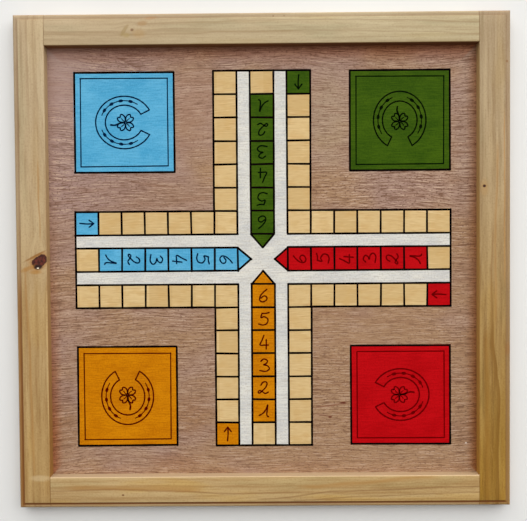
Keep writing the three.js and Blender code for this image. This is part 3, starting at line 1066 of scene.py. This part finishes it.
def clover(sketch, placed):
    """Four notched leaves and a bent stem."""
    quarter = math.pi / 2
    eighth = math.pi / 4
    outline = []
    for step in range(CLOVER_STEPS + 1):
        angle = 2 * math.pi * step / CLOVER_STEPS
        lobe = abs(math.cos(2 * angle)) ** LEAF_BLUNTNESS
        from_axis = (angle + eighth) % quarter - eighth
        notch = NOTCH_DEPTH * math.exp(-(from_axis / NOTCH_ANGLE) ** 2)
        reach = CLOVER_REACH * (CLOVER_HEART + (1 - CLOVER_HEART) * lobe) * (1 - notch)
        spin = angle + eighth
        outline.append(placed(reach * math.cos(spin), reach * math.sin(spin) + CLOVER_LIFT))
    sketch.stroke(smooth_path(outline), PEN)
    for leaf in range(4):
        spin = eighth + quarter * leaf
        vein = [placed(
            CLOVER_REACH * (out * math.cos(spin) - aside * math.sin(spin)),
            CLOVER_REACH * (out * math.sin(spin) + aside * math.cos(spin)) + CLOVER_LIFT,
        ) for out, aside in VEIN]
        sketch.stroke(smooth_path(vein), THIN_PEN)
    sketch.stroke(smooth_path([placed(x * MM, y * MM) for x, y in STEM]), STEM_PEN)


def drawn_grid(material):
    """The ruled lines round all the cells: one arm drawn four times, turned by a quarter each time."""
    sketch = Sketch(GRID_SEED)
    for quarter in range(4):
        for line in arm_lines():
            start, end = (quarter_turn(point, quarter) for point in line)
            sketch.ruled(start, end, LINE)
    sketch.add("drawn_grid", material, "ink_grid")


def arm_lines():
    """Ends of the lines of the top arm, measured from the track's centre."""
    lines = [((-TRACK_OUTER, TRACK_END), (TRACK_OUTER, TRACK_END))]
    lengthwise = ((TRACK_OUTER, TRACK_OUTER), (TRACK_INNER, TRACK_INNER), (HALF_CELL, TRACK_INNER))
    for side in (-1, 1):
        for aside, near in lengthwise:
            lines.append(((side * aside, near), (side * aside, TRACK_END)))
        lines.append(((side * HALF_CELL, TRACK_INNER), (0, HALF_CELL)))
        for step in range(1, CELLS_PER_ARM):
            level = TRACK_END - CELL * step
            lines.append(((side * TRACK_INNER, level), (side * TRACK_OUTER, level)))
    for step in range(1, CELLS_PER_ARM + 1):
        level = TRACK_END - CELL * step
        lines.append(((-HALF_CELL, level), (HALF_CELL, level)))
    return lines


def home_frame(colour, part, width, seed, material):
    """Four ruled lines round a corner square."""
    node = f"{colour}_home_{part}"
    low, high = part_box(node)
    left, right = low.x + width / 2, high.x - width / 2
    bottom, top = low.y + width / 2, high.y - width / 2
    corners = ((left, bottom), (right, bottom), (right, top), (left, top))
    sketch = Sketch(seed)
    for start, end in zip(corners, corners[1:] + corners[:1]):
        sketch.ruled(start, end, width)
    sketch.add(f"{colour}_drawn_{part}", material, node)


# Dressing the board

def top_rail():
    """Pale straight pine with a small knot and the stains round it."""
    speck = tint(112, 68, 34)
    batten(
        "top_rail", "x", -1, 1, SMOOTH_PINE, PALE_PINE,
        # Painted shade: the inner wall is dark brown, and the tone along its arris is painted as well
        wall_light_tones(tint(118, 70, 24), tint(94, 42, 3), 0.92, arris=tint(132, 98, 50), tone_share=0.6),
        knots=[knot(-155.2, 279.9, 1.6, 1.4, 15, strength=0.5)],
        streaks=[
            streak([(-147, 286.7), (-109, 288.3), (-48, 289.1), (27, 290.5), (97, 290.2), (175, 289),
                    (262, 285.4)], 1.2, 1.8, tint(150, 124, 86), 0.5),
            streak([(-262, 275.4), (-185, 274.1), (-85, 274.9), (-48, 277), (90, 277.2), (175, 275.4),
                    (262, 272)], 1.4, 2.2, tint(148, 120, 80), 0.36),
        ],
        marks=[
            spot(-164.5, 279.5, 9, 2.4, tint(150, 124, 74), 0.55, angle=56),
            spot(-162.5, 273.5, 5, 3.2, tint(166, 142, 86), 0.5),
            spot(-147, 275.5, 8, 6, tint(174, 138, 86), 0.4),
            spot(-143, 287.5, 6.5, 3.4, tint(162, 124, 78), 0.55, angle=8),
            spot(-133, 294, 8, 2.4, tint(170, 130, 88), 0.55, angle=6),
            spot(14.7, 295.3, 1.1, 0.8, speck, 0.7),
            spot(27.9, 295.4, 1.0, 0.7, speck, 0.6),
        ],
    )


def bottom_rail():
    """Honey-coloured pine with wide warm bands and slim brown lines."""
    batten(
        "bottom_rail", "x", 1, 2, HONEY_PINE, AMBER_PINE,
        # Painted light: the inner wall is pale, with a painted highlight along its arris
        wall_light_tones(tint(176, 151, 122), tint(180, 154, 122), 0.85, arris=tint(222, 197, 160), tone_share=0.5),
        streaks=[
            streak([(-226, -276), (-152, -277), (-97, -279)], 7, 3, tint(168, 122, 64), 0.6, fade=30),
            streak([(-258, -279), (-189, -277.2), (-116, -279.5), (-42, -283), (40, -282)], 1.8, 1.8,
                   tint(122, 78, 32), 0.4),
            streak([(60, -275), (110, -271), (195, -263.5)], 4, 5, tint(168, 124, 66), 0.62, fade=30),
            streak([(0, -290), (98, -280.7), (256, -276)], 1.6, 1.8, tint(132, 96, 54), 0.6),
            streak([(40, -292), (130, -287), (256, -283)], 1.4, 1.6, tint(136, 100, 56), 0.5),
        ],
        marks=[spot(-173.1, -284.3, 1.6, 1.2, tint(104, 58, 28), 0.85)],
    )


def left_stile():
    """Straw to golden pine with a big knot at mid height."""
    batten(
        "left_stile", "y", 1, 4, GOLD_PINE, STRAW_PINE,
        # Painted light and shade: the inner wall is darker low down and paler higher up
        wall_light_tones(tint(152, 108, 50), tint(184, 156, 116), 0.9),
        knots=[knot(-270.5, 2.2, 9.9, 6.4, 22, angle=38, taper=0.1)],
        streaks=[
            streak([(-285, -296), (-60, -296)], 4.5, 4.5, tint(138, 88, 32), 0.8, fade=60),
            streak([(40, -269.7), (75, -271), (113, -271)], 1.5, 1.5, OCHRE, 0.6, fade=20),
            streak([(-250, -281), (-120, -284), (-14, -288)], 2, 3, OCHRE, 0.5, fade=15),
        ],
        marks=[
            spot(-276.0, 8.8, 15, 1.5, tint(140, 92, 36), 0.8, angle=27),
            spot(-284.5, -6.5, 11, 3.0, tint(164, 112, 44), 0.6, angle=20),
            spot(-276.0, -11.0, 8, 2.6, tint(166, 116, 46), 0.6),
            spot(-272.6, -4.4, 5.4, 3.4, tint(36, 12, 5)),
            # A painted glint: a white highlight on the dark spot by the knot
            spot(-273.0, -6.0, 1.4, 0.8, tint(248, 232, 204)),
            spot(-274, -263, 13, 4, tint(206, 180, 136), 0.5),
        ],
    )


def right_stile():
    """Dull pine that grows deep and brown towards its foot, with a small dark knot."""
    batten(
        "right_stile", "y", -1, 3, DEEP_PINE, DULL_PINE,
        # Painted light and shade: the inner wall's golden tones, deeper towards the foot
        wall_light_tones(tint(196, 146, 66), tint(196, 160, 104), 0.75),
        knots=[knot(267.8, 89.2, 1.7, 1.4, 9, strength=0.95)],
        streaks=[
            streak([(-300, 285), (-231, 284.5), (-170, 286.7), (-134, 283), (-100, 279)], 1.2, 9,
                   tint(120, 80, 18), 0.7, fade=50),
            streak([(-134, 281), (-90, 277.5), (-16, 276.5), (30, 278)], 1.2, 2.4, tint(134, 94, 40), 0.5,
                   fade=25),
            streak([(-10, 292.6), (80, 292.3), (160, 291.8)], 1.0, 1.4, tint(180, 126, 64), 0.6, fade=30),
            streak([(-295, 296.5), (-190, 296.5)], 3, 3, tint(146, 108, 58), 0.5, fade=60),
            streak([(-300, 272), (-170, 271), (-100, 270)], 5, 5, tint(140, 96, 30), 0.6, fade=30),
            streak([(-60, 282), (20, 281), (120, 284)], 2, 3, OCHRE, 0.5, fade=30),
        ],
        marks=[
            spot(267.8, 87.0, 5, 11, tint(172, 132, 78), 0.45),
            spot(267.8, 89.2, 2.0, 1.8, tint(48, 10, 0)),
            spot(295.5, 238.8, 1.6, 1.6, tint(140, 96, 56), 0.7),
            spot(296, -108, 3.5, 9, tint(150, 100, 48), 0.4),
        ],
    )


def coat(node, material):
    """Gives a CAD node its finished material."""
    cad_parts[node].material_slots[0].material = material


# Deep, light and shadow tone of each paint, and how far the fibres show through it
PAINT_TONES = {
    "white": (tint(198, 197, 194), tint(224, 220, 209), tint(178, 167, 150), 0.45),
    "green": (tint(46, 74, 6), tint(65, 92, 12), tint(38, 62, 5), 0.4),
    "blue": (tint(72, 158, 199), tint(100, 178, 214), tint(66, 142, 180), 0.4),
    "orange": (tint(187, 109, 2), tint(210, 132, 6), tint(168, 93, 2), 0.45),
    "red": (tint(172, 4, 10), tint(193, 10, 18), tint(154, 3, 8), 0.45),
}

# Full and thin tone of the ink on each player's paint
INK_TONES = {
    "green": (tint(2, 10, 0), tint(10, 22, 2)),
    "blue": (tint(0, 20, 50), tint(3, 38, 70)),
    "orange": (tint(76, 0, 0), tint(102, 3, 0)),
    "red": (tint(98, 0, 1), tint(116, 0, 3)),
}


def dress_panel():
    """The veneer, the coats of paint and the drawn lines."""
    paints = {colour: paint(colour + "_paint", *tones) for colour, tones in PAINT_TONES.items()}
    coat("playing_panel", okoume())
    coat("white_lanes", paints["white"])
    tan = tan_cells()
    line_pen = ink("felt_pen", tint(8, 3, 2), tint(24, 11, 7))
    drawn_grid(line_pen)
    for quarter, colour in enumerate(PLAYERS):
        for part in ("home_square", "start_cell", "home_column"):
            coat(f"{colour}_{part}", paints[colour])
        for part in ("end_cell", "track"):
            coat(f"{colour}_{part}", tan)
        pen = ink("felt_pen_on_" + colour, *INK_TONES[colour])
        home_frame(colour, "outline", LINE, OUTLINE_SEED + quarter, line_pen)
        home_frame(colour, "fine_line", FINE_LINE, FINE_LINE_SEED + quarter, pen)
        for draw in (player_numbers, player_arrow, horseshoe):
            draw(colour, quarter, pen)


def dress_fixings():
    """The dowels in the corner joints and the pins that hold the panel."""
    wood, metal = beech(), steel()
    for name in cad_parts:
        if name.startswith("dowel_"):
            coat(name, wood)
        if name.startswith("panel_pin_"):
            coat(name, metal)


# Studio

CAMERA_PLACE = (5.80 * MM, 22.46 * MM, 882 * MM)
CAMERA_TURN = Vector((-0.0246, 0.0057, -0.0077))
CAMERA_LENS = 48.65
CAMERA_SENSOR = 36
FLOOR_HALF = 20.0
FLOOR_DROP = 0.2 * MM
FLOOR_NEAR = 0.6
FLOOR_FAR = 1.8
WINDOW_PLACE = (1.0, 3.9, 2.92)
WINDOW_SIZE = (14, 8)
WINDOW_POWER = 800
CEILING_PLACE = (0.0, 0.0, 3.0)
CEILING_SIZE = (4, 4)
CEILING_POWER = 22
ROOM_LIGHT = 0.17


def add_camera():
    """The camera where the photograph was taken from."""
    data = bpy.data.cameras.new("camera")
    data.sensor_width = CAMERA_SENSOR
    data.lens = CAMERA_LENS
    camera = add_object("camera", data)
    camera.location = CAMERA_PLACE
    camera.rotation_mode = "QUATERNION"
    camera.rotation_quaternion = Quaternion(CAMERA_TURN.normalized(), CAMERA_TURN.length)
    bpy.context.scene.camera = camera


def add_floor():
    """A wide pale floor that turns into the backdrop away from the board."""
    x, y = new_material("pale_floor")[:2]
    cloud = noise(x * 3, y * 3, 1.0)
    colour = mix(cloud, tint(228, 227, 224), tint(234, 233, 230))
    surface = shader(colour, 0.8, cloud, relief=0.01 * MM, gloss=0.1)
    far = smooth(length(x, y), FLOOR_NEAR, FLOOR_FAR)
    material = close(backdrop(far, surface, "Emission"))
    signs = ((-1, -1), (1, -1), (1, 1), (-1, 1))
    corners = [(right * FLOOR_HALF, up * FLOOR_HALF, -FLOOR_DROP) for right, up in signs]
    floor = add_mesh("floor", corners, [(0, 1, 2, 3)], material)


def add_lamp(name, place, size, power):
    """A soft box that points at the board."""
    data = bpy.data.lights.new(name, "AREA")
    data.shape = "RECTANGLE"
    data.size, data.size_y = size
    data.energy = power
    lamp = add_object(name, data)
    lamp.location = place
    lamp.visible_camera = False
    lamp.rotation_mode = "QUATERNION"
    lamp.rotation_quaternion = (-Vector(place)).to_track_quat("-Z", "Y")


def add_sky():
    """A dim even room that shows as the backdrop."""
    world = without_nodes(bpy.data.worlds.new("room"))
    room = new_node(world, "Background", {"Strength": ROOM_LIGHT})
    bpy.context.scene.world = close(backdrop(1.0, room, "Background"), "OutputWorld")


add_camera()
for dress_batten in (top_rail, bottom_rail, left_stile, right_stile):
    dress_batten()
dress_panel()
dress_fixings()
add_floor()
add_lamp("window", WINDOW_PLACE, WINDOW_SIZE, WINDOW_POWER)
add_lamp("ceiling", CEILING_PLACE, CEILING_SIZE, CEILING_POWER)
add_sky()
bpy.context.scene.view_settings.view_transform = "Standard"
